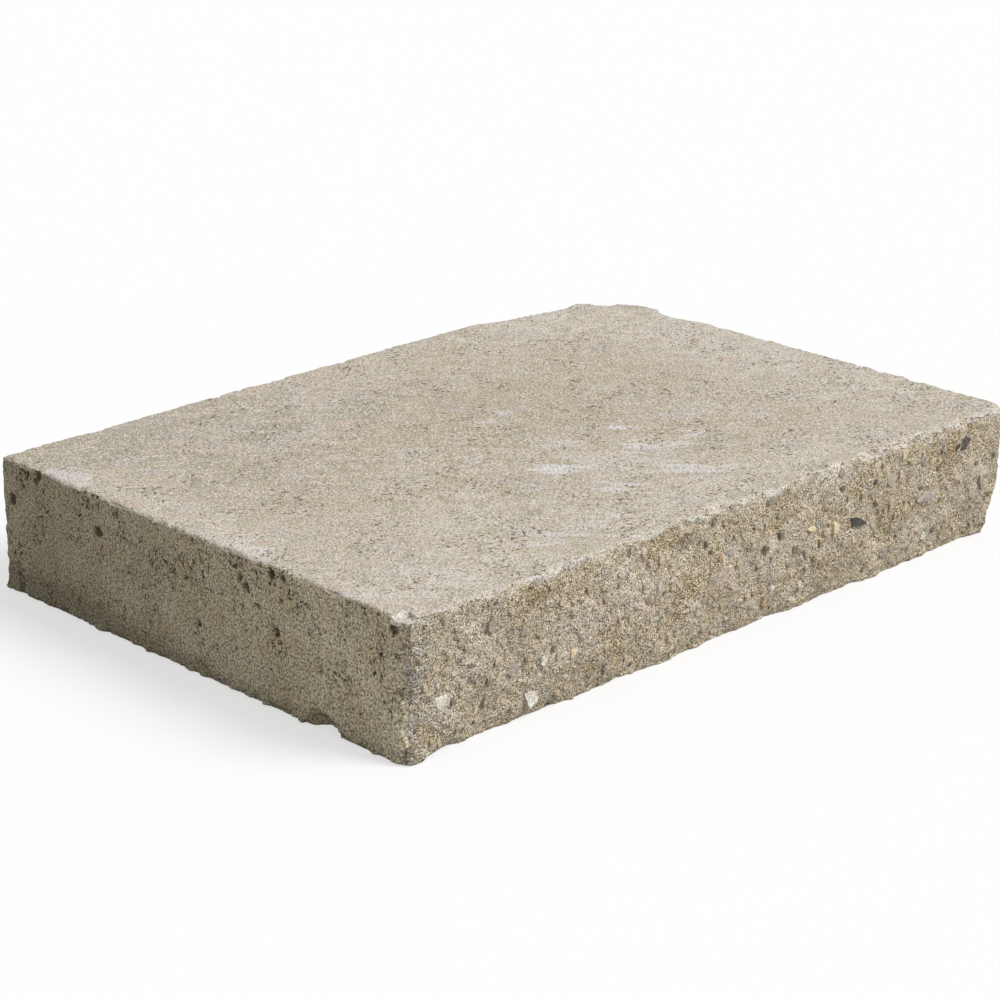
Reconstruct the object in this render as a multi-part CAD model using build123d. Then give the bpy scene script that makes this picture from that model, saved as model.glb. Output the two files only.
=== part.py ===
from build123d import *
from math import cos, exp, pi, sin
import os

# Concrete wall cap: one piece of dry-cast concrete in millimetres, lying on its bed face.
# X runs along the wall, the split face looks along -Y and Z is up.
# The origin is under the middle of the cap, on the bed face.

# Overall size, with the depth taken from the back to the proudest point of the split face
LENGTH = 304.8
DEPTH = 218.0
HEIGHT = 50.8

# Round that the mould leaves on the top edges, the foot and the upright back edges
TOP_ARRIS = 1.4
FOOT_ARRIS = 1.0
BACK_ARRIS = 2.0

# Split face: how far its middle lies behind the proud ends, and over what length the ends stand out
HOLLOW_DEPTH = 1.6
END_REACH = 14.0

# Split face: how far its foot runs in under the brow, and how late that starts
UNDERCUT = 4.4
UNDERCUT_POWER = 3

# Split face: waves of the fracture as height, pitch along the face, pitch up the face and phase
FRACTURE_WAVES = [
    (0.55, 118.0, 95.0, 0.6),
    (0.50, -61.0, 70.0, 2.1),
    (0.45, 37.0, -41.0, 4.0),
    (0.35, 23.0, 33.0, 1.3),
    (0.30, -15.5, 24.0, 5.2),
]

# Split face: spacing of the points that carry its surface, and of those that find its proudest place
FRACTURE_PITCH = 5.0
FINE_PITCH = 1.0

# Broken rear right corner: how far the break runs along the back and along the end at the top,
# how far it bulges between those two places, and how much shorter both runs are at the foot
BREAK_ALONG_BACK = 60.0
BREAK_ALONG_END = 34.0
BREAK_BULGE = 12.5
BREAK_LEAN = 12.0

# Worn front right corner: its plan radius, the height below which the wear widens, and its radius at the foot
WEAR_RADIUS = 7.0
WEAR_HEIGHT = 22.0
WEAR_FOOT_RADIUS = 20.0

# How far a cutting body reaches past the cap, so that no faces coincide
OVERCUT = 20.0


def fracture_loss(x, z):
    """How far the broken face lies behind a flat plane, before it is set to the overall depth."""
    from_left = x + LENGTH / 2
    from_right = LENGTH / 2 - x
    proud_ends = exp(-from_left / END_REACH) + exp(-from_right / END_REACH)
    below_top = max(1 - z / HEIGHT, 0)
    waves = sum(
        height * sin(2 * pi * (x / along + z / up) + phase) for height, along, up, phase in FRACTURE_WAVES
    )
    return HOLLOW_DEPTH * (1 - proud_ends) + UNDERCUT * below_top**UNDERCUT_POWER + waves


def spread(start, end, pitch):
    """Evenly spaced places from start to end, no further apart than the pitch."""
    steps = max(int((end - start) / pitch) + 1, 4)
    return [start + (end - start) * i / steps for i in range(steps + 1)]


def least_fracture_loss():
    """The loss at the proudest place of the broken face, clear of the worn corner."""
    places = spread(-LENGTH / 2, LENGTH / 2 - WEAR_RADIUS, FINE_PITCH)
    heights = spread(0, HEIGHT, FINE_PITCH)
    return min(fracture_loss(x, z) for x in places for z in heights)


def split_waste():
    """The stock in front of the broken face, which comes away when the cap is split from its twin."""
    proudest = least_fracture_loss()
    places = spread(-LENGTH / 2 - OVERCUT, LENGTH / 2 + OVERCUT, FRACTURE_PITCH)
    heights = spread(-OVERCUT, HEIGHT + OVERCUT, FRACTURE_PITCH)
    grid = [
        [Vector(x, -DEPTH / 2 + fracture_loss(x, z) - proudest, z) for z in heights] for x in places
    ]
    broken_face = Face.make_surface_from_array_of_points(grid)
    return extrude(broken_face, amount=2 * OVERCUT + HOLLOW_DEPTH + UNDERCUT, dir=(0, -1, 0))


def moulded_block():
    """The block as it leaves the mould, with spare stock in front for the split."""
    middle = Pos(0, -OVERCUT / 2, 0)
    block = middle * Box(LENGTH, DEPTH + OVERCUT, HEIGHT, align=(Align.CENTER, Align.CENTER, Align.MIN))
    uprights = block.edges().filter_by(Axis.Z).sort_by(Axis.Y)[-2:]
    block = fillet(uprights, BACK_ARRIS)
    top_edges = block.faces().sort_by(Axis.Z)[-1].edges().sort_by(Axis.Y)[1:]
    block = fillet(top_edges, TOP_ARRIS)
    foot_edges = block.faces().sort_by(Axis.Z)[0].edges().sort_by(Axis.Y)[1:]
    return fillet(foot_edges, FOOT_ARRIS)


def corner_section(side, along_x, along_y, bulge, z):
    """The waste at one height outside an arc across a right-hand corner: side is 1 at the back, -1 in front."""
    corner_x = LENGTH / 2
    corner_y = side * DEPTH / 2
    outer_x = corner_x + OVERCUT
    outer_y = corner_y + side * OVERCUT
    start = (corner_x - along_x, corner_y)
    end = (corner_x, corner_y - side * along_y)
    outside = Polyline(end, (outer_x, end[1]), (outer_x, outer_y), (start[0], outer_y), start)
    return Pos(0, 0, z) * make_face(outside + SagittaArc(start, end, side * bulge))


def rear_break():
    """The piece that broke off the rear right corner, whose break leans out towards the foot."""
    lean = BREAK_LEAN / HEIGHT
    heights = (-OVERCUT, HEIGHT + OVERCUT)
    shorter = [lean * (HEIGHT - z) for z in heights]
    return loft(
        [
            corner_section(1, BREAK_ALONG_BACK - less, BREAK_ALONG_END - less, BREAK_BULGE, z)
            for less, z in zip(shorter, heights)
        ],
        ruled=True,
    )


def front_wear():
    """The stock worn off the front right corner: a round that widens below the wear height."""
    widening = (WEAR_FOOT_RADIUS - WEAR_RADIUS) / WEAR_HEIGHT
    rounds = [
        (WEAR_FOOT_RADIUS + widening * OVERCUT, -OVERCUT),
        (WEAR_RADIUS, WEAR_HEIGHT),
        (WEAR_RADIUS, HEIGHT + OVERCUT),
    ]
    quarter_bulge = 1 - cos(pi / 4)
    return loft([corner_section(-1, r, r, r * quarter_bulge, z) for r, z in rounds], ruled=True)


def wall_cap():
    """The finished cap: a moulded block, split along the front and damaged at two corners."""
    return moulded_block() - split_waste() - rear_break() - front_wear()


os.makedirs("parts", exist_ok=True)
export_step(wall_cap(), "parts/wall_cap.step")
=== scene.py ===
"""Concrete wall cap: a dry-cast slab with a flat pale top, pitted moulded sides and one split face.

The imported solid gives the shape. Chips are knocked off its edges, its skin is remeshed and broken up with
seeded noise, and the stones that the split laid bare are joined on, so that the cap stays one closed piece.
Blender works in metres, in the frame of the solid. Sizes and places in this file are in millimetres.
"""

import math

import bmesh
import bpy
import numpy as np
from mathutils import Euler, Matrix, Vector
from mathutils.bvhtree import BVHTree
from mathutils.kdtree import KDTree


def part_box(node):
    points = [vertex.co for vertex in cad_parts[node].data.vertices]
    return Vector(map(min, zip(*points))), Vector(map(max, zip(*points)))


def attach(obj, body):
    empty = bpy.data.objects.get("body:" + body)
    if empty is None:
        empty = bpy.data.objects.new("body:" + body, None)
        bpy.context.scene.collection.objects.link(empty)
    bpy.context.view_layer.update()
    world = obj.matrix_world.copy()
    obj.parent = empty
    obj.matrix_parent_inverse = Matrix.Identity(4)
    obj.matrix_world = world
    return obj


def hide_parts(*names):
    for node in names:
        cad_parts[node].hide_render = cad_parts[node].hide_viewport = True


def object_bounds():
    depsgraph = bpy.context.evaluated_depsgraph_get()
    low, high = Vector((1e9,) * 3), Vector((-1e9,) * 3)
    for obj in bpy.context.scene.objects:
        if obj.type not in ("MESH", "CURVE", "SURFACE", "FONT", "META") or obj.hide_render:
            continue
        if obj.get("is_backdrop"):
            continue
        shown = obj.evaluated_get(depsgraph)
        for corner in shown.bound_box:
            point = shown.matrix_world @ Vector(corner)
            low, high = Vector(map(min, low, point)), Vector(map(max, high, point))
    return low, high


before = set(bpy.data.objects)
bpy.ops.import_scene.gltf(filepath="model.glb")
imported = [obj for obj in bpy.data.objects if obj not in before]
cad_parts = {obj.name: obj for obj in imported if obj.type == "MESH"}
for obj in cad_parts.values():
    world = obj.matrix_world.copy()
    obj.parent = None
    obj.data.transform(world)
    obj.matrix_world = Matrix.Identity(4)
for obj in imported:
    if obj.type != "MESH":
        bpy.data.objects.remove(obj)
cad_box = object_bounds()

MM = 0.001
SEED = 7

# Shape of the cap, read from the frame
LOW, HIGH = (np.array(corner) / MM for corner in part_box("wall_cap"))
HEIGHT = HIGH[2]

# Mesh: voxel of the remesh, and the triangles of the slab before its stones are joined on
VOXEL = 0.55
SLAB_TRIANGLES = 176_000

# Chips off the rim of the split face: place along the rim, length, depth and height. Their middles lie
# above the top by the raise, and every chip is the hull of that many corners.
RIM_CHIPS = [
    (-133, 8, 4, 4), (-116, 9, 5, 4), (-88, 16, 7, 5), (-68, 8, 4, 3), (-46, 18, 7, 6), (-27, 9, 8, 7),
    (-9, 15, 7, 6), (17, 9, 6, 5), (37, 16, 8, 6), (57, 10, 5, 4), (73, 12, 8, 8), (90, 16, 8, 7),
    (108, 10, 4, 4), (128, 13, 7, 6), (145, 8, 5, 4),
]
RIM_PALENESS = 0.5
RIM_RAISE = 0.8
CHIP_CORNERS = 26

# Chips off the other edges: middle, size along X, Y and Z, turn about Z in degrees, and paleness
EDGE_CHIPS = [
    ((-152.5, -104.5, 52), (13, 16, 8), 20, 0.8),
    ((-153, -65, 0), (26, 17, 18), 0, 0),
    ((-134, -106, 0), (24, 12, 9), 0, 0.2),
    ((-152.5, -108, 8), (6, 6, 18), 45, 1.0),
    ((151, -107.5, 53), (13, 13, 11), 45, 0.3),
    ((-152, 110, 53.2), (20, 14, 6), -14, 0),
    ((142, 92.5, 51), (14, 9, 12), -49, 0.1),
    ((151.5, 60, 51.3), (7, 9, 8), 0, 0.1),
    ((152.8, 58, 52), (12, 42, 11), 3, 0.1),
    ((126, 101.5, 52), (15, 7, 6), -12, 0.2),
    ((100, 108, 51.5), (14, 5, 5), -8, 0.2),
    ((107, 107.5, 52.5), (80, 20, 15), -12, 0.1),
    ((-153, -40.5, 48.8), (5, 4.5, 5), 0, 0),
    ((-153.2, -20, 51.6), (5, 10, 5), 8, 0.3),
    ((-153.2, 6, 51.6), (5, 9, 5), 8, 0),
    ((-153.2, 44, 51.6), (5, 12, 5), -6, 0),
    ((-153.4, 72, 51.8), (6, 16, 5), 5, 0.3),
    ((-72, 109.6, 51.6), (13, 4, 4), 4, 0),
    ((8, 109.8, 51.6), (10, 4, 4), -3, 0),
    ((153.4, -44, 51.6), (4, 11, 4), 5, 0),
    ((153.4, 22, 51.6), (4, 8, 4), -8, 0),
    ((-60, 109.6, -0.4), (12, 4, 5), 0, 0),
    ((153.2, 40, -0.4), (4, 10, 5), 0, 0),
    ((-153, 100, 4), (6, 8, 12), 30, 0),
]

# Worn upright corner between the left end and the split face: its plan radius above, its plan radius at the
# foot, how high the wear of the foot reaches, and the share by which the radius varies
CORNER_ROUND = 10
CORNER_FOOT_ROUND = 6
CORNER_FOOT_REACH = 22
CORNER_VARIES = 0.35

# Crumb of concrete stuck to the left foot: middle and size
CRUMB = ((-152.4, -55.5, 1.5), (4, 4.5, 4))

# Stones laid bare by the split: place along the cap and up it, size along and up, turn in degrees, and tint
STONES = [
    (126, 42, 11, 5.5, -8, "black"), (66, 26.5, 11, 6, 22, "black"),
    (40, 30.5, 5, 5.5, 0, "cream"), (54, 27.5, 5, 5, 30, "cream"), (92, 46, 3.5, 4.5, 20, "cream"),
    (24.5, 32.5, 4, 3.5, 0, "dark"), (32.5, 25, 4, 3.5, 20, "dark"), (30, 20.5, 5, 4, 40, "slate"),
    (-6, 25, 11, 9, -15, "rose"), (104, 12.5, 5, 5.5, 0, "rose"), (109.5, 8.5, 4, 3.5, 0, "white"),
    (114.5, 10.5, 2.5, 3.5, 0, "dark"), (85, 8.5, 6.5, 3.5, 10, "slate"), (106, 25.5, 9, 4.5, 0, "lilac"),
    (85.5, 37, 7, 6, 0, "grey"), (105, 40, 4.5, 4, 0, "slate"), (139, 24, 4.5, 7, 10, "slate"),
    (135, 19, 4, 3.5, 0, "grey"), (57, 41.5, 2.5, 2.5, 0, "dark"), (103, 30, 2, 2, 0, "dark"),
    (17, 47.5, 6, 3, -5, "slate"), (-10.5, 46.5, 3, 4, 0, "dark"), (57, 47, 4, 3.5, 0, "slate"),
    (-17.5, 41.5, 2.5, 2, 0, "dark"), (14, 23, 3, 2, 0, "brown"), (22.5, 12.5, 3.5, 3, 0, "white"),
    (13, 13, 3.5, 2.5, 0, "rust"), (-8.5, 33, 3.5, 2.5, 0, "rust"), (20, 6.5, 4, 2.5, 0, "rust"),
    (-2, 33.5, 5, 4, 0, "lilac"), (-38.5, 30.5, 2, 3.5, 15, "white"), (-12, 7, 5, 4, 0, "grey"),
    (-96.5, 7, 10, 8.5, 20, "white"), (-106, 20, 6, 5, 20, "lilac"), (-93.5, 20, 5, 3.5, 30, "white"),
    (-139, 19.5, 6, 7, 15, "white"), (-133, 18, 3.5, 3.5, 0, "dark"), (-128.5, 22.5, 4, 3.5, 0, "grey"),
    (-132.5, 27, 2.5, 2.5, 0, "white"), (-117.5, 20, 3, 3, 0, "dark"), (-117, 13, 3.5, 7, 5, "faint"),
    (-137.5, 47.5, 4.5, 4, 0, "faint"), (-113.5, 47.5, 5, 3.5, 0, "grey"), (-117, 40, 4, 6.5, 10, "faint"),
    (-102, 33, 6, 4, 20, "faint"), (-79, 18, 4, 4, 0, "cream"), (-130, 7.5, 3, 2.5, 0, "faint"),
    (-43, 26.5, 3.5, 4, 0, "brown"), (-64, 34, 4.5, 3.5, 20, "grey"), (-70, 8, 4, 3, 0, "brown"),
]

# Lesser stones that fill the face between those: how many, how large, and the room that each one needs.
# No stone sits where the face falls away by more than the slope, and all are drawn larger by the scale.
LESSER_STONES = 120
LESSER_SIZE = (1.8, 4.2)
STONE_ROOM = 1.0
STONE_SLOPE = 3.0
STONE_SCALE = 1.12
LESSER_TINTS = ["tan", "tan", "tan", "tan", "grey", "grey", "brown", "rose", "faint", "dark"]

# Colours of the stones, and how much cement dust lies on them
TINTS = {
    "black": ((0.075, 0.075, 0.072), 0.12), "dark": ((0.165, 0.15, 0.125), 0.45),
    "slate": ((0.30, 0.302, 0.275), 0.5), "faint": ((0.37, 0.352, 0.30), 0.8),
    "grey": ((0.46, 0.437, 0.375), 0.6), "lilac": ((0.49, 0.435, 0.43), 0.45),
    "rose": ((0.66, 0.545, 0.46), 0.4), "white": ((0.78, 0.745, 0.67), 0.3),
    "cream": ((0.80, 0.66, 0.45), 0.3), "tan": ((0.53, 0.44, 0.315), 0.7),
    "brown": ((0.34, 0.25, 0.15), 0.5), "rust": ((0.44, 0.27, 0.14), 0.5),
}

# Patches of the split face: place along the cap and up it, reach along and up, turn in degrees, and strength
BROWN_PATCHES = [
    (-97, 44, 13, 9, 0, 1.0), (-61, 13, 12, 10, 0, 1.0), (-23, 24, 14, 9, 20, 1.0), (-30, 48, 16, 7, 0, 0.9),
    (-147, 12, 9, 10, 0, 0.9), (-39, 42, 9, 8, 0, 0.8), (74, 49, 14, 7, 0, 0.9), (91, 22, 14, 10, -20, 1.0),
    (-11, 32, 9, 8, 0, 0.8), (23, 42, 14, 9, 0, 1.0), (66, 39, 12, 9, 0, 0.9), (55, 12, 14, 9, 0, 0.8),
    (116, 39, 15, 10, 10, 1.0),
]
PINK_PATCHES = [
    (-79, 26, 13, 10, 0, 0.9), (-46, 32, 18, 9, -20, 0.9), (52, 48, 11, 7, 0, 0.9), (106, 15, 12, 9, 0, 0.8),
    (43, 46, 9, 7, 0, 0.8), (17, 25, 12, 9, 0, 0.8), (131, 26, 12, 10, 0, 0.8), (-120, 30, 16, 10, 0, 0.8),
]

CRUST_PATCHES = [
    (-148, 28, 3.5, 9, 15, 0.8), (-150.5, 13, 3, 11, 6, 0.9), (-151.5, 3, 3, 6, 0, 1.0),
    (-140, 17, 9, 8, 0, 0.55),
]

# Marks on the top: place, reach along and across, turn in degrees, and strength
WARM_ZONES = [
    (5, 30, 110, 55, -8, 0.9), (-100, 10, 24, 80, 0, 0.7), (40, -20, 70, 30, -30, 0.8),
    (-45, -40, 40, 30, -30, 0.5),
]
GREY_ZONES = [
    (-115, 92, 95, 42, -6, 1.0), (-60, 66, 75, 26, -6, 0.8), (-95, 40, 40, 40, 0, 0.6),
    (41, -60, 14, 9, -44, 0.5),
]
PALE_ZONES = [
    (138, 20, 34, 120, 0, 1.0), (-146, 0, 14, 75, 0, 0.7), (-120, -85, 55, 22, 0, 1.0),
    (105, 85, 40, 28, -30, 0.9), (20, -90, 110, 14, 0, 0.7), (-70, -60, 50, 24, -30, 0.5),
]
SCUFF_TURN = -44
SCUFFS = [
    (-20.5, -39.5, 12, 6, -44, 1.0), (30, -25.5, 6, 3.5, -44, 1.0), (44.5, -48, 9, 4, -44, 0.9),
    (19, -43.5, 7, 9, -44, 0.9), (29, -49.5, 10, 4, -44, 0.6), (13.5, -71, 14, 8, -30, 0.8),
    (-17, -66.5, 10, 6, -44, 0.9), (1, -21, 9, 6, -44, 0.5), (11, 18, 6, 4, -44, 0.5),
    (-1, 13, 7, 4, -44, 0.35), (57, 12, 8, 5, -44, 0.35), (-61, -35, 10, 6, -44, 0.35),
    (-147, 71, 8, 14, 0, 0.5), (-147, -22, 6, 12, 0, 0.6), (-60, -84, 26, 9, 0, 0.35),
    (0, -52, 26, 16, -44, 0.35), (70, -30, 24, 14, -44, 0.25),
]
STAINS = [
    (147, 80, 9, 3, -55, 0.5), (3.5, -59, 5, 3, -44, 0.8), (41, -63, 5, 3.5, -44, 0.35),
    (-132, -42, 2, 2, 0, 0.6),
]

# Smooth patches of the left end, and the large holes between them: place along Y and Z, and reach
SMOOTH_PATCHES = [(20, 30, 12), (-7, 46, 7), (-62, 30, 14)]
LARGE_HOLES = [
    (-41, 48.5, 2.8), (52, 37, 2.4), (-99, 46, 2.2), (86, 49, 2.4), (-28, 40, 2), (-25, 42, 1.6),
    (-43.5, 28, 1.6), (-2.5, 19, 1.6), (-47, 48, 1.6), (-45.5, 40, 1.4), (103, 36, 2.2),
]

# Region of the rear break: the least X and Y there, and how far inside the right end and the back its faces
# and points lie
BREAK_REGION = (80, 50)
BREAK_POINT_INSET = 1
BREAK_FACE_INSET = 1.2

# Border of the split face at the upright corners: how far it runs round them, and how ragged it is
BORDER_SHIFT = 1.5
BORDER_RAGGED = 4

# Bake map: for each side the axes that lie along it, millimetres to a texel, and the corner of its patch
MAP_TEXELS = 1024
MAP_PATCHES = {
    "split": ((1, 0, 0), (0, 0, 1), 0.31, (20, 8)),
    "top": ((1, 0, 0), (0, 1, 0), 0.40, (8, 184)),
    "right": ((0, 0, 1), (0, 1, 0), 0.40, (782, 184)),
    "break": ((0.707, -0.707, 0), (0, 0, 1), 0.70, (918, 184)),
    "left": ((0, 1, 0), (0, 0, 1), 0.33, (8, 740)),
    "back": ((1, 0, 0), (0, 0, 1), 0.45, (8, 904)),
    "bed": ((1, 0, 0), (0, 1, 0), 0.95, (696, 740)),
}
SIDE_NAMES = list(MAP_PATCHES)

# Camera: where the photograph was taken from, which way it looks, and its lens on a 36 mm sensor
CAMERA_PLACE = (-712.3, -721.3, 396.4)
CAMERA_AIM = (0.65531, 0.67187, -0.3452)
CAMERA_LENS = 105.13
SENSOR = 36

# Light: a level sky, and a soft key from the front right that leaves the left end in shade
SKY_LEVEL = 0.40
KEY_LEVEL = 2.62
KEY_FROM = (0.38, -0.60, 0.70)
KEY_SPREAD = 30
FLOOR_DROP = 0.1
FLOOR_SIZE = 40_000
FLOOR_WHITE = 0.4


# Noise

def lattice_random(cells, seed):
    """A number from 0 to 1 for each whole-number cell, the same every time for one cell and seed."""
    x, y, z = (cells[:, axis].astype(np.uint32) for axis in range(3))
    mixed = x * np.uint32(374761393) + y * np.uint32(668265263) + z * np.uint32(2246822519)
    mixed += np.uint32(seed * 2654435761 % 2**32)
    mixed = (mixed ^ (mixed >> np.uint32(15))) * np.uint32(2246822519)
    mixed = (mixed ^ (mixed >> np.uint32(13))) * np.uint32(3266489917)
    mixed ^= mixed >> np.uint32(16)
    return mixed / 2.0**32


def seed_turned(points, seed):
    """The points turned by an angle that depends on the seed, so that no grid of the noise shows."""
    turn = Matrix.Rotation(0.7 + 1.3 * seed, 3, Vector((1, 0.6 + 0.1 * seed, 0.3)))
    return points @ np.array(turn).T


def smooth_noise(points, size, seed):
    """Soft lumps about as wide as size, from -1 to 1."""
    scaled = seed_turned(points, seed) / size
    cells = np.floor(scaled).astype(np.int64)
    part = scaled - cells
    part = part * part * (3 - 2 * part)
    total = np.zeros(len(points))
    for corner in np.ndindex(2, 2, 2):
        weight = np.prod(np.where(corner, part, 1 - part), axis=1)
        total += weight * lattice_random(cells + corner, seed)
    return 2 * total - 1


def fractal_noise(points, size, octaves, seed, gain=0.5):
    """Lumps of several sizes, each half as wide as the last, from about -1 to 1."""
    strengths = [gain**i for i in range(octaves)]
    layers = [s * smooth_noise(points, size / 2**i, seed + 31 * i) for i, s in enumerate(strengths)]
    return sum(layers) / sum(strengths) * 1.5


def scattered_dots(points, size, seed):
    """For each point, the distance to the nearest scattered dot in sizes, and that dot's random number."""
    scaled = seed_turned(points, seed) / size
    cells = np.floor(scaled).astype(np.int64)
    nearest = np.full(len(points), 9.0)
    number = np.zeros(len(points))
    for step in np.ndindex(3, 3, 3):
        near = cells + np.array(step) - 1
        dots = np.stack([lattice_random(near, seed + shift) for shift in (1, 2, 3)], axis=1)
        distance = np.linalg.norm(near + dots - scaled, axis=1)
        closer = distance < nearest
        nearest[closer] = distance[closer]
        number[closer] = lattice_random(near[closer], seed + 4)
    return nearest, number


def rise(value, low, high):
    """0 below low, rising smoothly to 1 above high."""
    t = np.clip((value - low) / (high - low), 0, 1)
    return t * t * (3 - 2 * t)


def fade(distance, reach):
    """1 at no distance, falling smoothly to 0 at the reach."""
    return 1 - rise(distance, 0, reach)


# Mesh helpers

def mesh_points(mesh):
    flat = np.zeros(len(mesh.vertices) * 3, np.float32)
    mesh.vertices.foreach_get("co", flat)
    return flat.reshape(-1, 3) / MM


def mesh_normals(mesh):
    flat = np.zeros(len(mesh.vertices) * 3, np.float32)
    mesh.vertex_normals.foreach_get("vector", flat)
    return flat.reshape(-1, 3).astype(float)


def set_mesh_points(mesh, points):
    mesh.vertices.foreach_set("co", (points * MM).astype(np.float32).ravel())
    mesh.update()


def get_attribute(mesh, name):
    values = np.zeros(len(mesh.vertices), np.float32)
    mesh.attributes[name].data.foreach_get("value", values)
    return values


def set_attribute(mesh, name, values):
    layer = mesh.attributes.get(name) or mesh.attributes.new(name, "FLOAT", "POINT")
    layer.data.foreach_set("value", np.asarray(values, np.float32))


def new_piece(name, mesh):
    piece = bpy.data.objects.new(name, mesh)
    bpy.context.scene.collection.objects.link(piece)
    return piece


def apply_modifiers(piece):
    """Makes the piece's modifiers part of its mesh."""
    evaluated = piece.evaluated_get(bpy.context.evaluated_depsgraph_get())
    done = bpy.data.meshes.new_from_object(evaluated)
    piece.modifiers.clear()
    piece.data = done


def combine(piece, other, operation):
    """Joins another closed piece on, or cuts it out, and takes that other piece away."""
    step = piece.modifiers.new("combine", "BOOLEAN")
    step.operation = operation
    step.solver = "MANIFOLD"
    step.material_mode = "TRANSFER"
    step.object = other
    apply_modifiers(piece)
    bpy.data.objects.remove(other)


def turn_matrix(x=0, y=0, z=0):
    """A turn about each axis, in degrees."""
    return np.array(Euler((math.radians(x), math.radians(y), math.radians(z))).to_matrix())


def rock(rng, size, corners=18):
    """Corners of a random lump with that size along each axis."""
    away = rng.normal(size=(corners, 3))
    away /= np.linalg.norm(away, axis=1, keepdims=True)
    return away * rng.uniform(0.8, 1, (corners, 1)) * np.array(size) / 2


def hull_piece(name, hulls):
    """A piece made of the convex hulls of sets of corners, each set given with its material's number."""
    shapes = bmesh.new()
    for corners, material in hulls:
        hull = bmesh.ops.convex_hull(shapes, input=[shapes.verts.new(corner) for corner in corners * MM])
        for item in hull["geom"]:
            if isinstance(item, bmesh.types.BMFace):
                item.material_index = material
    loose = [vertex for vertex in shapes.verts if not vertex.link_faces]
    bmesh.ops.delete(shapes, geom=loose, context="VERTS")
    bmesh.ops.recalc_face_normals(shapes, faces=shapes.faces)
    mesh = bpy.data.meshes.new(name)
    shapes.to_mesh(mesh)
    shapes.free()
    return new_piece(name, mesh)


# Slab

class FrontMap:
    """Where the split face of a mesh lies: its Y at each place along the cap and up it."""

    STEP = 1.0
    INSET = 1.0

    def __init__(self, mesh):
        corners = [vertex.co for vertex in mesh.vertices]
        solid = BVHTree.FromPolygons(corners, [face.vertices for face in mesh.polygons])
        self.shape = [int((HIGH[axis] - LOW[axis]) / self.STEP) + 2 for axis in (0, 2)]
        self.grid = np.zeros(self.shape)
        for column, row in np.ndindex(*self.shape):
            x = np.clip(LOW[0] + column * self.STEP, LOW[0] + self.INSET, HIGH[0] - self.INSET)
            z = np.clip(row * self.STEP, self.INSET, HEIGHT - self.INSET)
            start = Vector((x, LOW[1] - self.STEP, z)) * MM
            hit = solid.ray_cast(start, Vector((0, 1, 0)))[0]
            self.grid[column, row] = hit.y / MM if hit else HIGH[1]

    def y(self, x, z):
        """Y of the face at each place, between the four nearest places of the grid."""
        column = np.clip((x - LOW[0]) / self.STEP, 0, self.shape[0] - 1.001)
        row = np.clip(z / self.STEP, 0, self.shape[1] - 1.001)
        i, j = column.astype(int), row.astype(int)
        s, t = column - i, row - j
        low = self.grid[i, j] * (1 - s) + self.grid[i + 1, j] * s
        high = self.grid[i, j + 1] * (1 - s) + self.grid[i + 1, j + 1] * s
        return low * (1 - t) + high * t


class Chips:
    """The lumps that were knocked off the edges."""

    def __init__(self, front):
        rng = np.random.default_rng(SEED)
        x, length, depth, height = np.array(RIM_CHIPS, float).T
        rims = np.stack([x, front.y(x, np.full(len(x), HEIGHT)), np.full(len(x), HEIGHT + RIM_RAISE)], axis=1)
        sizes = np.stack([length, depth, height], axis=1)
        turns = rng.uniform(-12, 12, len(x))
        self.chips = [(place, size, turn, RIM_PALENESS) for place, size, turn in zip(rims, sizes, turns)]
        for place, size, turn, paleness in EDGE_CHIPS:
            self.chips.append((np.array(place), np.array(size), turn, paleness))
        self.lumps = [
            rock(rng, size, CHIP_CORNERS) @ turn_matrix(z=turn).T + place
            for place, size, turn, _ in self.chips
        ]

    def paleness(self, points):
        """How pale each point is: the most on the floor of a fresh chip, and nothing outside one."""
        pale = np.zeros(len(points))
        for place, size, turn, paleness in self.chips:
            near = np.flatnonzero((np.abs(points - place) < size.max()).all(axis=1))
            across = (points[near] - place) @ turn_matrix(z=turn) / (size / 2)
            distance = np.linalg.norm(across, axis=1)
            pale[near] = np.maximum(pale[near], paleness * (1 - rise(distance, 1.0, 1.3)))
        return pale


def in_rear_break(x, y, inset):
    """Whether each place lies in the region of the rear break, and inside the moulded faces by the inset."""
    inside = (HIGH[0] - x > inset) & (HIGH[1] - y > inset)
    return inside & (x > BREAK_REGION[0]) & (y > BREAK_REGION[1])


class Skin:
    """The points of a mesh, and where each one lies on the cap."""

    def __init__(self, mesh, front):
        self.points = mesh_points(mesh)
        self.normals = mesh_normals(mesh)
        x, y, z = self.points.T
        self.behind = y - front.y(x, z)
        self.below = HEIGHT - z
        self.upright = 1 - rise(np.abs(self.normals[:, 2]), 0.4, 0.8)
        at_front = rise(-self.normals[:, 1], 0.1, 0.5) * (1 - rise(self.behind, 6, 9))
        in_corner = in_rear_break(x, y, BREAK_POINT_INSET)
        self.broken = np.maximum(at_front, in_corner * self.upright)
        self.moulded = 1 - self.broken
        walls = np.stack([x - LOW[0], HIGH[0] - x, HIGH[1] - y, self.behind, z, self.below], axis=1)
        self.arris = fade(np.sort(np.abs(walls), axis=1)[:, 1], 3)
        self.rim = fade(np.abs(self.behind), 3.5) * fade(self.below, 4)
        self.outward = self.normals.copy()
        self.outward[:, 2] *= rise(z, 0.5, 4)


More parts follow.
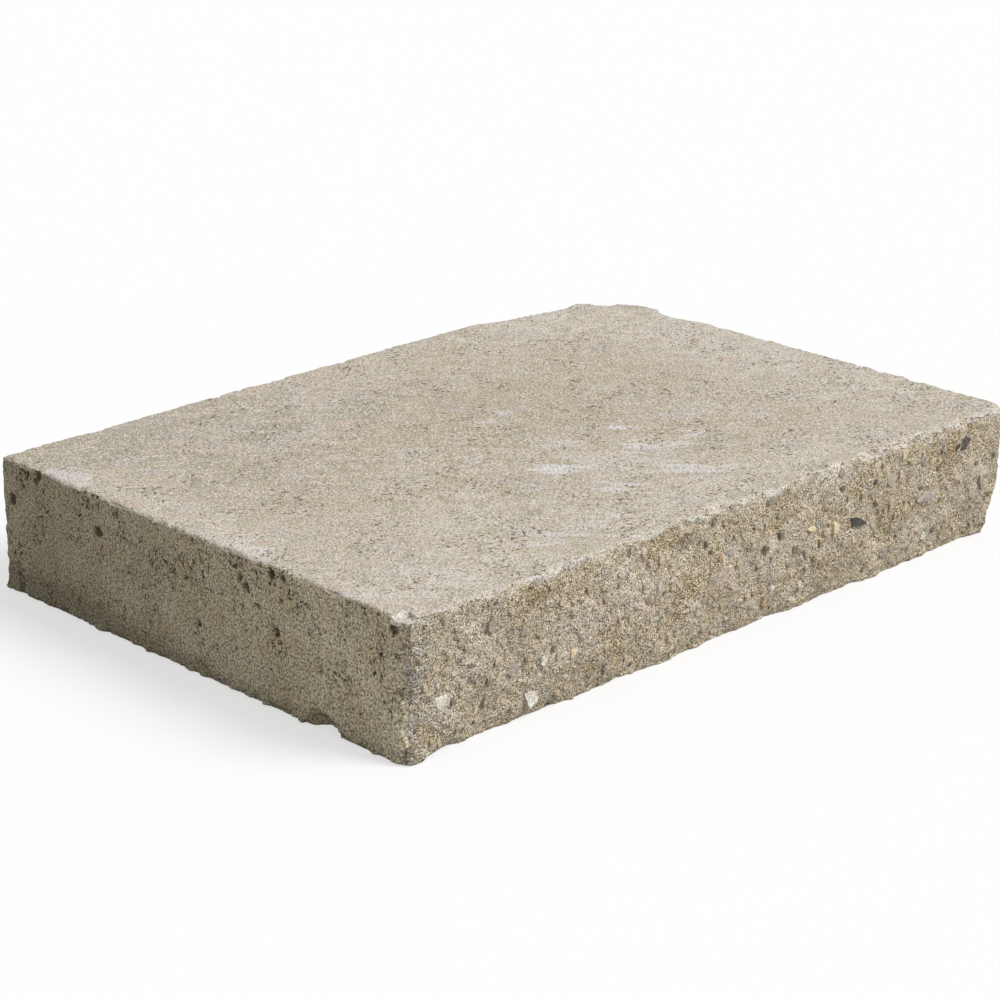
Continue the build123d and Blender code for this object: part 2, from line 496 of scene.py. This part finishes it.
def remeshed_solid(node, chips):
    """A copy of a solid with the chips cut out and the crumb stuck on, remeshed into even small squares."""
    mesh = node.data.copy()
    welded = bmesh.new()
    welded.from_mesh(mesh)
    bmesh.ops.remove_doubles(welded, verts=welded.verts, dist=0.001 * MM)
    welded.to_mesh(mesh)
    welded.free()
    mesh.materials.clear()
    piece = new_piece("cap_surface", mesh)
    for lump in chips.lumps:
        combine(piece, hull_piece("chip", [(lump, 0)]), "DIFFERENCE")
    place, size = CRUMB
    crumb = rock(np.random.default_rng(SEED), size) + np.array(place)
    combine(piece, hull_piece("crumb", [(crumb, 0)]), "UNION")
    remesh = piece.modifiers.new("even_squares", "REMESH")
    remesh.mode = "VOXEL"
    remesh.voxel_size = VOXEL * MM
    apply_modifiers(piece)
    return piece


def soften_corner(piece, front):
    """Wears the corner between the left end and the split face round, more in some places than others."""
    points = mesh_points(piece.data)
    reach = CORNER_ROUND + (CORNER_FOOT_ROUND - CORNER_ROUND) * fade(points[:, 2], CORNER_FOOT_REACH)
    reach *= 1 + CORNER_VARIES * smooth_noise(points, 11, SEED + 21)
    inward = np.stack([points[:, 0] - LOW[0], points[:, 1] - front.y(points[:, 0], points[:, 2])], axis=1)
    near = (inward < reach[:, None]).all(axis=1)
    from_middle = inward[near] - reach[near, None]
    to_round = np.abs(from_middle).max(axis=1) / np.linalg.norm(from_middle, axis=1)
    points[near, :2] += from_middle * (to_round - 1)[:, None]
    set_mesh_points(piece.data, points)


def broken_relief(skin):
    """Height of the broken faces: low lumps, sockets of lost stones and crumbs."""
    some = skin.broken > 0.01
    at = skin.points[some]
    lumps = 0.4 * fractal_noise(at, 14, 2, SEED)
    near, number = scattered_dots(at, 4.5, SEED + 3)
    sockets = 1.1 * fade(near, 0.7) * (number - 0.6)
    crumbs = 0.5 * fractal_noise(at, 3, 3, SEED + 5, 0.7)
    knobs = 1.8 * fractal_noise(at, 16, 2, SEED + 7) * (at[:, 1] > 0)
    relief = np.zeros(len(skin.points))
    relief[some] = (lumps + sockets + crumbs + knobs) * skin.broken[some]
    return relief


def moulded_relief(skin):
    """Height of the moulded faces: slow waves and grain."""
    waves = 0.15 * smooth_noise(skin.points, 40, SEED + 9)
    grain = 0.10 * fractal_noise(skin.points, 3.5, 2, SEED + 11)
    return (waves + grain) * skin.moulded


def air_holes(skin):
    """How far each point lies in an air hole, from 0 to 1: the sides have crowds of them, the top a few."""
    x, y, z = skin.points.T
    crowd = rise(fractal_noise(skin.points, 18, 2, SEED + 13) + 1.2 * z / HEIGHT, 0.2, 1.3)
    for patch_y, patch_z, reach in SMOOTH_PATCHES:
        crowd *= 1 - (x < LOW[0] + 4) * fade(np.hypot(y - patch_y, z - patch_z), reach)
    level = -1.05 + (0.05 + 0.3 * skin.upright) * crowd
    ragged = fractal_noise(skin.points, 2.8, 3, SEED + 15, 0.6)
    holes = rise(level - ragged, -0.05, 0.15)
    for hole_y, hole_z, reach in LARGE_HOLES:
        away = np.hypot(y - hole_y, z - hole_z) / reach + 0.6 * ragged
        holes = np.maximum(holes, (x < LOW[0] + 4) * (1 - rise(away, 0.7, 1.0)))
    return holes * skin.moulded


def edge_wear(skin):
    """How far the edges are worn back: a little all along, and bites here and there."""
    ragged = fractal_noise(skin.points, 4, 3, SEED + 17, 0.7)
    teeth = fractal_noise(skin.points, 3.2, 2, SEED + 18)
    at_foot = fade(skin.points[:, 2], 5)
    at_left = fade(skin.points[:, 0] - LOW[0], 8)
    foot = at_foot * (0.6 * ragged + (0.8 + 0.9 * at_left) * teeth)
    worn = skin.arris * (0.1 - (0.4 + 0.3 * at_left) * ragged - foot)
    bites = rise(fractal_noise(skin.points, 7, 3, SEED + 19), 0.15, 0.8)
    return worn + bites * (0.8 * skin.arris + 0.6 * skin.rim)


def roughen(piece, front, chips):
    """Moves the surface in and out, and notes where it is hollow, near the rim or freshly chipped."""
    skin = Skin(piece.data, front)
    relief = broken_relief(skin)
    holes = air_holes(skin)
    depth = 0.35 + 0.65 * skin.upright
    moved = relief + moulded_relief(skin) - depth * holes - edge_wear(skin)
    set_attribute(piece.data, "hollow", np.maximum(holes, rise(-relief, 0.1, 1.0)))
    set_attribute(piece.data, "rim", skin.rim)
    set_attribute(piece.data, "fresh", chips.paleness(skin.points))
    points = skin.points + skin.outward * moved[:, None]
    points[:, 2] = np.maximum(points[:, 2], 0)
    set_mesh_points(piece.data, points)


def thin_out(piece, triangles):
    """Leaves about that many triangles, with the most where the surface is rough."""
    thin = piece.modifiers.new("thin_out", "DECIMATE")
    thin.ratio = triangles / (2 * len(piece.data.polygons))
    apply_modifiers(piece)


# Stones

def stone_list(rng):
    """The stones in the list above, and lesser ones wherever there is room for them."""
    stones = list(STONES)
    while len(stones) < len(STONES) + LESSER_STONES:
        x = rng.uniform(LOW[0] + 4, HIGH[0] - 6)
        z = rng.uniform(3, HEIGHT - 3)
        along, up = rng.uniform(*LESSER_SIZE) * rng.uniform(0.7, 1, 2)
        tint = LESSER_TINTS[rng.integers(len(LESSER_TINTS))]
        turn = rng.uniform(0, 180)
        gaps = [
            math.hypot(x - other[0], z - other[1]) - (max(along, up) + max(other[2:4])) / 2
            for other in stones
        ]
        if min(gaps) > STONE_ROOM:
            stones.append((x, z, along, up, turn, tint))
    return stones


def bare_stones(rough_front):
    """The stones, sunk in the rough face with a flat broken side outwards."""
    rng = np.random.default_rng(SEED + 1)
    tints = list(TINTS)
    hulls = []
    for x, z, along, up, turn, tint in stone_list(rng):
        depth = min(along, up)
        corners = rock(rng, STONE_SCALE * np.array([along, depth, up]))
        corners[:, 1] = np.maximum(corners[:, 1], -0.2 * depth)
        lean = rng.uniform(-9, 9, 2)
        corners = corners @ turn_matrix(y=turn).T @ turn_matrix(x=lean[0], z=lean[1]).T
        beside = along / 3 * np.array([-1, 0, 0, 0, 1])
        above = up / 3 * np.array([0, -1, 0, 1, 0])
        face_y = rough_front.y(x + beside, z + above)
        if np.ptp(face_y) > STONE_SLOPE:
            continue
        middle_y = face_y.mean() - rng.uniform(0.5, 0.9) + 0.2 * depth
        hulls.append((corners + np.array([x, middle_y, z]), tints.index(tint)))
    return hull_piece("bare_stones", hulls)


def set_stones(piece):
    """Joins the stones on. Each point then takes its attributes from the nearest point of the bare slab."""
    slab_points = mesh_points(piece.data)
    notes = {name: get_attribute(piece.data, name) for name in ("hollow", "rim", "fresh")}
    stones = bare_stones(FrontMap(piece.data))
    piece.data.materials.clear()
    piece.data.materials.append(bpy.data.materials.new("slab"))
    for tint in TINTS:
        stones.data.materials.append(bpy.data.materials.new("bare_" + tint))
    combine(piece, stones, "UNION")
    tree = KDTree(len(slab_points))
    for index, point in enumerate(slab_points):
        tree.insert(point, index)
    tree.balance()
    nearest = [tree.find(point)[1] for point in mesh_points(piece.data)]
    for name, values in notes.items():
        set_attribute(piece.data, name, values[nearest])


# Sides

def face_sides(mesh, front):
    """For each face, the number of the side of the cap that it belongs to."""
    middles = np.zeros(len(mesh.polygons) * 3, np.float32)
    mesh.polygons.foreach_get("center", middles)
    x, y, z = (middles.reshape(-1, 3) / MM).T
    normals = np.zeros(len(mesh.polygons) * 3, np.float32)
    mesh.polygon_normals.foreach_get("vector", normals)
    _, out, up = normals.reshape(-1, 3).T
    uprights = {
        "split": y - front.y(x, z), "left": x - LOW[0], "right": HIGH[0] - x, "back": HIGH[1] - y,
    }
    names = np.array(list(uprights))
    distances = np.abs(list(uprights.values()))
    border = BORDER_SHIFT + BORDER_RAGGED * fractal_noise(middles.reshape(-1, 3) / MM, 8, 3, SEED + 23)
    distances[0] -= np.where(out < -0.3, border, 0)
    sides = names[np.argmin(distances, axis=0)].astype("U8")
    sides[in_rear_break(x, y, BREAK_FACE_INSET)] = "break"
    sides[(HEIGHT - z < 2.5) & (up > 0.5)] = "top"
    sides[(z < 1.5) & (up < -0.5)] = "bed"
    return np.array([SIDE_NAMES.index(side) for side in sides])


def lay_out_map(mesh, sides):
    """Gives each side its own flat patch of the bake map."""
    corners = np.zeros(len(mesh.loops), np.int32)
    mesh.loops.foreach_get("vertex_index", corners)
    places = mesh_points(mesh)[corners]
    counts = np.zeros(len(mesh.polygons), np.int32)
    mesh.polygons.foreach_get("loop_total", counts)
    side_of_corner = np.repeat(sides, counts)
    spots = np.zeros((len(corners), 2))
    for number, (along, up, texel, patch) in enumerate(MAP_PATCHES.values()):
        own = side_of_corner == number
        flat = np.stack([places[own] @ np.array(along), places[own] @ np.array(up)], axis=1)
        spots[own] = (flat - flat.min(axis=0)) / texel + np.array(patch)
    layer = mesh.uv_layers.new(name="OFBake")
    layer.data.foreach_set("uv", (spots / MAP_TEXELS).astype(np.float32).ravel())


def dress(piece, front):
    """Gives each face the material of its side or its stone, and the mesh its bake map."""
    mesh = piece.data
    joined = np.zeros(len(mesh.polygons), np.int32)
    mesh.polygons.foreach_get("material_index", joined)
    stone_names = ["slab", *("bare_" + tint for tint in TINTS)]
    stone = np.array([stone_names.index(material.name) for material in mesh.materials])[joined]
    sides = face_sides(mesh, front)
    finishes = {"top": 0, "split": 2, "break": 2}
    slab_finish = np.array([finishes.get(name, 1) for name in SIDE_NAMES])[sides]
    chosen = np.where(stone == 0, slab_finish, stone + 2)
    mesh.materials.clear()
    for finish in (top_finish, side_finish, split_finish):
        mesh.materials.append(finish(Shade(finish.__name__)))
    for tint, (colour, dust) in TINTS.items():
        mesh.materials.append(stone_finish(Shade("stone_" + tint), colour, dust))
    mesh.polygons.foreach_set("material_index", chosen.astype(np.int32))
    mesh.polygons.foreach_set("use_smooth", chosen <= 2)
    lay_out_map(mesh, sides)


def build_cap():
    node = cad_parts["wall_cap"]
    front = FrontMap(node.data)
    chips = Chips(front)
    piece = remeshed_solid(node, chips)
    soften_corner(piece, front)
    roughen(piece, front, chips)
    thin_out(piece, SLAB_TRIANGLES)
    set_stones(piece)
    dress(piece, front)
    return piece


# Materials

class Shade:
    """Short calls that add nodes to one material. Places are in millimetres and each call gives a socket."""

    def __init__(self, name):
        self.material = bpy.data.materials.new(name)
        self.material.use_nodes = True
        self.tree = self.material.node_tree
        self.tree.nodes.clear()
        self.place = self.scaled(self.node("ShaderNodeTexCoord").outputs["Object"], 1 / MM)

    def node(self, kind, inputs=None, **settings):
        node = self.tree.nodes.new(kind)
        for key, value in settings.items():
            setattr(node, key, value)
        for key, value in (inputs or {}).items():
            self.feed(node.inputs[key], value)
        return node

    def feed(self, socket, value):
        if isinstance(value, bpy.types.NodeSocket):
            self.tree.links.new(value, socket)
        else:
            socket.default_value = value

    def math(self, operation, *values, clamp=False):
        inputs = dict(enumerate(values))
        return self.node("ShaderNodeMath", inputs, operation=operation, use_clamp=clamp).outputs[0]

    def scaled(self, vector, amount):
        return self.node("ShaderNodeVectorMath", {0: vector, "Scale": amount}, operation="SCALE").outputs[0]

    def stretched(self, factors):
        """Places that are squeezed along each axis, so that a texture stretches there."""
        return self.node("ShaderNodeVectorMath", {0: self.place, 1: factors}, operation="MULTIPLY").outputs[0]

    def streaked(self):
        """Places turned and squeezed, so that a texture on the top stretches along the scuffs."""
        inputs = {"Vector": self.place, "Rotation": (0, 0, math.radians(SCUFF_TURN)), "Scale": (3.5, 0.9, 1)}
        return self.node("ShaderNodeMapping", inputs, vector_type="TEXTURE").outputs[0]

    def shifted(self, place, seed):
        shift = (13.7 * seed, 71.3 * seed, 37.9 * seed)
        return self.node("ShaderNodeVectorMath", {0: place, 1: shift}, operation="ADD").outputs[0]

    def noise(self, size, seed, detail=2.0, place=None, twist=0.0):
        """Soft clouds about as wide as size, around 0.5, drawn out into wisps by the twist."""
        inputs = {"Vector": self.shifted(place or self.place, seed), "Scale": 1 / size, "Detail": detail}
        return self.node("ShaderNodeTexNoise", {**inputs, "Distortion": twist}).outputs["Fac"]

    def ramp(self, value, low, high, first=0.0, last=1.0):
        inputs = {"Value": value, "From Min": low, "From Max": high, "To Min": first, "To Max": last}
        return self.node("ShaderNodeMapRange", inputs, interpolation_type="SMOOTHSTEP").outputs[0]

    def mix(self, factor, a, b):
        node = self.node("ShaderNodeMix", data_type="RGBA", clamp_factor=True)
        self.feed(node.inputs[0], factor)
        for socket, colour in ((node.inputs[6], a), (node.inputs[7], b)):
            self.feed(socket, colour if isinstance(colour, bpy.types.NodeSocket) else (*colour, 1))
        return node.outputs[2]

    def attribute(self, name):
        return self.node("ShaderNodeAttribute", attribute_name=name).outputs["Fac"]

    def grainy(self, colour, noise, strength, dark, light, spread=0.18):
        """The colour, darker where the noise is low and lighter where it is high."""
        colour = self.mix(self.ramp(noise, 0.5 - spread, 0.5, strength, 0), colour, dark)
        return self.mix(self.ramp(noise, 0.5, 0.5 + spread, 0, strength), colour, light)

    def pits(self, size, seed, level, twist=0.0):
        """1 in ragged little holes, which grow more and wider as the level rises towards 0.5."""
        noise = self.noise(size, seed, 3, twist=twist)
        return self.ramp(self.math("SUBTRACT", noise, level), -0.03, 0.03, 1, 0)

    def cracks(self, size, seed, level):
        """1 in short ragged cracks, which grow more and longer as the level rises towards 0.5."""
        away = self.math("ABSOLUTE", self.math("SUBTRACT", self.noise(size, seed, 3), 0.5))
        return self.math("MULTIPLY", self.ramp(away, 0.012, 0.05, 1, 0), self.pits(2 * size, seed + 1, level))

    def spots(self, marks, ragged, upright=False):
        """The strongest of some soft ovals, on the top or the split face. Ragged moves their edges."""
        strongest = 0.0
        for along, across, reach_along, reach_across, turn, strength in marks:
            angle = math.radians(turn)
            inputs = {
                "Vector": self.place, "Location": (along, across, HEIGHT), "Rotation": (0, 0, angle),
                "Scale": (reach_along, reach_across, HEIGHT),
            }
            if upright:
                inputs.update({
                    "Location": (along, LOW[1], across), "Rotation": (0, -angle, 0),
                    "Scale": (reach_along, HIGH[1], reach_across),
                })
            oval = self.node("ShaderNodeMapping", inputs, vector_type="TEXTURE").outputs[0]
            distance = self.node("ShaderNodeVectorMath", {0: oval}, operation="LENGTH").outputs["Value"]
            spot = self.ramp(self.math("ADD", distance, ragged), 0.45, 1.0, strength, 0)
            strongest = self.math("MAXIMUM", strongest, spot)
        return strongest

    def finish(self, colour, height, roughness=0.93):
        """Ends the material: a matt surface with that colour and, in millimetres, that fine relief."""
        bump = self.node("ShaderNodeBump", {"Height": height, "Distance": MM, "Strength": 1.0})
        shader = self.node("ShaderNodeBsdfPrincipled", {"Base Color": colour, "Normal": bump.outputs[0]})
        shader.inputs["Roughness"].default_value = roughness
        shader.inputs["Specular IOR Level"].default_value = 0.12
        output = self.node("ShaderNodeOutputMaterial")
        self.tree.links.new(shader.outputs[0], output.inputs["Surface"])
        return self.material


def chipped(shade, colour):
    """The colour with pale bruises along the rim and on fresh chips."""
    bruised = shade.math("MAXIMUM", shade.attribute("rim"), shade.attribute("fresh"))
    patchy = shade.ramp(shade.noise(6, 32, 4), 0.42, 0.56, 0.1, 1.0)
    return shade.mix(shade.math("MULTIPLY", bruised, patchy), colour, (0.78, 0.75, 0.69))


def top_finish(shade):
    """Flat top: pale with warm, pink and grey zones, fine grain, open pores, scuffs and stains."""
    streaks = shade.noise(5, 5, 3, shade.streaked())
    ragged = shade.ramp(streaks, 0.3, 0.7, -0.6, 0.6)
    colour = shade.mix(shade.spots(WARM_ZONES, ragged), (0.585, 0.518, 0.415), (0.492, 0.41, 0.30))
    colour = shade.mix(shade.spots(GREY_ZONES, ragged), colour, (0.43, 0.391, 0.328))
    colour = shade.mix(shade.spots(PALE_ZONES, ragged), colour, (0.685, 0.634, 0.562))
    hues = shade.noise(9, 2, 3)
    colour = shade.mix(shade.ramp(hues, 0.34, 0.48, 0.9, 0), colour, (0.49, 0.448, 0.325))
    colour = shade.mix(shade.ramp(hues, 0.52, 0.66, 0, 0.9), colour, (0.625, 0.505, 0.41))
    bluish = shade.noise(14, 7, 3)
    colour = shade.mix(shade.ramp(bluish, 0.54, 0.68, 0, 0.7), colour, (0.555, 0.51, 0.475))
    colour = shade.mix(shade.spots(SCUFFS, ragged), colour, (0.78, 0.755, 0.745))
    colour = shade.mix(shade.spots(STAINS, ragged), colour, (0.40, 0.29, 0.16))
    colour = chipped(shade, colour)
    grain = shade.noise(0.75, 3, 2)
    colour = shade.grainy(colour, grain, 0.95, (0.36, 0.30, 0.215), (0.80, 0.755, 0.68))
    crowd = shade.ramp(shade.noise(20, 6, 2), 0.4, 0.64, 0.285, 0.38)
    pores = shade.pits(1.4, 4, crowd)
    # Painted shade: the pores and the hollows of the relief are painted dark
    dark = shade.math("MULTIPLY", shade.math("MAXIMUM", pores, shade.attribute("hollow")), 0.8)
    colour = shade.mix(dark, colour, (0.15, 0.115, 0.07))
    height = shade.math("MULTIPLY_ADD", grain, 0.5, shade.math("MULTIPLY", pores, -0.4))
    return shade.finish(colour, height)


def side_finish(shade):
    """Moulded ends, back and bed: olive grey, painted paler towards the split face as light and darker at the
    foot as shade, with crowds of ragged pits painted dark as shade.
    """
    colour = shade.mix(shade.ramp(shade.noise(22, 11), 0.4, 0.6), (0.458, 0.402, 0.276), (0.51, 0.45, 0.322))
    colour = shade.mix(shade.ramp(shade.noise(16, 18, 3), 0.52, 0.66, 0, 0.7), colour, (0.468, 0.379, 0.255))
    parts = shade.node("ShaderNodeSeparateXYZ", {0: shade.place})
    # Painted light: the moulded faces grow paler towards the split face and a little darker towards the back,
    # as light from the front would make them
    colour = shade.scaled(colour, shade.ramp(parts.outputs["Y"], LOW[1], HIGH[1], 1.52, 0.97))
    drag = shade.noise(3.0, 12, 2, shade.stretched((1, 1, 0.10)))
    colour = shade.scaled(colour, shade.ramp(drag, 0.35, 0.65, 0.95, 1.05))
    # Painted shade: darker at the foot, reaching higher up towards the back, with a ragged upper edge
    painted_foot_shade = shade.math("MULTIPLY_ADD", shade.noise(4, 17), 10, parts.outputs["Z"])
    painted_foot_shade = shade.math("SUBTRACT", painted_foot_shade, shade.ramp(parts.outputs["Y"], -40, HIGH[1], 0, 8))
    colour = shade.scaled(colour, shade.ramp(painted_foot_shade, 5, 13, 0.72, 1.0))
    colour = chipped(shade, colour)
    grain = shade.noise(0.8, 13, 3)
    colour = shade.grainy(colour, grain, 1.0, shade.scaled(colour, 0.38), shade.scaled(colour, 1.5), 0.15)
    crowd = shade.noise(13, 14, 3)
    level = shade.math("MULTIPLY_ADD", parts.outputs["Z"], 0.0013, shade.ramp(crowd, 0.36, 0.64, 0.2, 0.35))
    cracks = shade.math("MULTIPLY", shade.cracks(1.2, 15, shade.math("ADD", level, 0.08)), 0.5)
    pits = shade.math("MAXIMUM", cracks, shade.pits(1.5, 17, shade.math("SUBTRACT", level, 0.01), 0.8))
    # Painted shade: the pits, the cracks and the hollows of the relief are painted nearly black
    hollow = shade.math("MULTIPLY", shade.attribute("hollow"), 0.9)
    dark = shade.math("MULTIPLY", shade.math("MAXIMUM", pits, hollow), 0.92)
    colour = shade.mix(dark, colour, (0.055, 0.038, 0.018))
    height = shade.math("MULTIPLY_ADD", grain, 0.5, shade.math("MULTIPLY", pits, -0.7))
    return shade.finish(colour, height)


def split_finish(shade):
    """Broken faces: sandy tan with brown, pink and grey patches, and scattered dark and pale grains."""
    cloud = shade.ramp(shade.noise(9, 21, 3), 0.42, 0.58)
    colour = shade.mix(cloud, (0.49, 0.388, 0.238), (0.60, 0.497, 0.345))
    ragged = shade.ramp(shade.noise(4, 27, 4), 0.3, 0.7, -0.6, 0.6)
    colour = shade.mix(shade.spots(BROWN_PATCHES, ragged, True), colour, (0.40, 0.29, 0.14))
    colour = shade.mix(shade.spots(PINK_PATCHES, ragged, True), colour, (0.66, 0.555, 0.44))
    colour = shade.mix(shade.spots(CRUST_PATCHES, ragged, True), colour, (0.70, 0.65, 0.56))
    colour = shade.mix(shade.ramp(shade.noise(7, 22), 0.54, 0.68, 0, 0.6), colour, (0.63, 0.525, 0.405))
    colour = shade.mix(shade.ramp(shade.noise(5, 23), 0.55, 0.68, 0, 0.7), colour, (0.48, 0.455, 0.385))
    along = shade.node("ShaderNodeSeparateXYZ", {0: shade.place}).outputs["X"]
    colour = shade.scaled(colour, shade.ramp(along, LOW[0], 20, 0.97, 1.09))
    # Painted shade: the hollows of the relief are painted dark brown
    colour = shade.mix(shade.math("MULTIPLY", shade.attribute("hollow"), 0.55), colour, (0.27, 0.20, 0.115))
    colour = chipped(shade, colour)
    coarse = shade.noise(1.6, 24, 2)
    colour = shade.grainy(colour, coarse, 0.3, (0.25, 0.19, 0.115), (0.76, 0.69, 0.57))
    return sandy(shade, colour, coarse)


def sandy(shade, colour, coarse):
    """Ends a broken surface: the colour with fine grains of sand, and a few dark specks."""
    fine = shade.noise(0.5, 25, 2)
    light = shade.mix(0.75, colour, (1.0, 0.915, 0.77))
    colour = shade.grainy(colour, fine, 1.0, shade.scaled(colour, 0.27), light, 0.14)
    specks = shade.math("MULTIPLY", shade.pits(2.0, 26, 0.345), 0.65)
    colour = shade.mix(specks, colour, (0.13, 0.115, 0.09))
    height = shade.math("MULTIPLY_ADD", coarse, 0.8, shade.math("MULTIPLY", fine, 0.5))
    return shade.finish(colour, height)


def stone_finish(shade, colour, dust):
    """Bare stone: one colour, clouded and finely speckled, under patches of cement dust."""
    cloud = shade.noise(2.0, 41, 3)
    tinted = shade.scaled(colour, shade.ramp(cloud, 0.3, 0.7, 0.8, 1.2))
    film = shade.ramp(shade.noise(1.8, 42, 3), 0.4, 0.6, 0.25 * dust, dust)
    dusty = shade.mix(film, tinted, (0.51, 0.425, 0.30))
    speckle = shade.noise(0.5, 43, 2)
    dusty = shade.scaled(dusty, shade.ramp(speckle, 0.3, 0.7, 0.68, 1.32))
    return shade.finish(dusty, shade.math("MULTIPLY", speckle, 0.2), 0.85)


# Stage

def shown_to_camera(tree):
    """1 for what the camera sees, straight, reflected or through glass, and 0 for what gives light."""
    ray = tree.nodes.new("ShaderNodeLightPath")
    total = ray.outputs["Is Camera Ray"]
    for name in ("Is Glossy Ray", "Is Transmission Ray"):
        either = tree.nodes.new("ShaderNodeMath")
        either.operation = "MAXIMUM"
        tree.links.new(total, either.inputs[0])
        tree.links.new(ray.outputs[name], either.inputs[1])
        total = either.outputs[0]
    return total


def between(tree, factor, first, last):
    """A value that goes from first to last as the factor goes from 0 to 1."""
    step = tree.nodes.new("ShaderNodeMapRange")
    tree.links.new(factor, step.inputs["Value"])
    step.inputs["To Min"].default_value = first
    step.inputs["To Max"].default_value = last
    return step.outputs[0]


def build_floor():
    """White paper: diffuse to the light, and lifted to white for the camera, with the shadow kept."""
    bpy.ops.mesh.primitive_plane_add(size=FLOOR_SIZE * MM, location=(0, 0, -FLOOR_DROP * MM))
    floor = bpy.context.object
    floor.name = "floor"
    floor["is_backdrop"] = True
    material = bpy.data.materials.new("white_paper")
    floor.data.materials.append(material)
    material.use_nodes = True
    tree = material.node_tree
    tree.nodes.clear()
    paper = tree.nodes.new("ShaderNodeBsdfDiffuse")
    paper.inputs["Color"].default_value = (FLOOR_WHITE, FLOOR_WHITE, FLOOR_WHITE, 1)
    glow = tree.nodes.new("ShaderNodeEmission")
    tree.links.new(between(tree, shown_to_camera(tree), 0, 1 - FLOOR_WHITE), glow.inputs["Strength"])
    both = tree.nodes.new("ShaderNodeAddShader")
    tree.links.new(paper.outputs[0], both.inputs[0])
    tree.links.new(glow.outputs[0], both.inputs[1])
    output = tree.nodes.new("ShaderNodeOutputMaterial")
    tree.links.new(both.outputs[0], output.inputs["Surface"])


def build_light():
    """A level sky that looks white, and a soft key lamp."""
    scene = bpy.context.scene
    world = scene.world or bpy.data.worlds.new("studio")
    scene.world = world
    world.use_nodes = True
    tree = world.node_tree
    sky = tree.nodes["Background"]
    sky.inputs["Color"].default_value = (1, 1, 1, 1)
    tree.links.new(between(tree, shown_to_camera(tree), SKY_LEVEL, 1), sky.inputs["Strength"])
    lamp = bpy.data.lights.new("key_lamp", "SUN")
    lamp.energy = KEY_LEVEL
    lamp.angle = math.radians(KEY_SPREAD)
    key = bpy.data.objects.new("key_lamp", lamp)
    scene.collection.objects.link(key)
    key.rotation_mode = "QUATERNION"
    key.rotation_quaternion = (-Vector(KEY_FROM)).to_track_quat("-Z", "Y")


def build_camera():
    camera = bpy.data.objects.new("camera", bpy.data.cameras.new("camera"))
    bpy.context.scene.collection.objects.link(camera)
    camera.location = Vector(CAMERA_PLACE) * MM
    camera.rotation_mode = "QUATERNION"
    camera.rotation_quaternion = Vector(CAMERA_AIM).to_track_quat("-Z", "Y")
    camera.data.sensor_width = SENSOR
    camera.data.lens = CAMERA_LENS
    bpy.context.scene.camera = camera


bpy.context.scene.view_settings.view_transform = "Standard"
cap = build_cap()
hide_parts("wall_cap")
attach(cap, "root")
build_floor()
build_light()
build_camera()

boxes = {"cad": cad_box, "visual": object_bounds()}
{name: [list(corner) for corner in box] for name, box in boxes.items()}
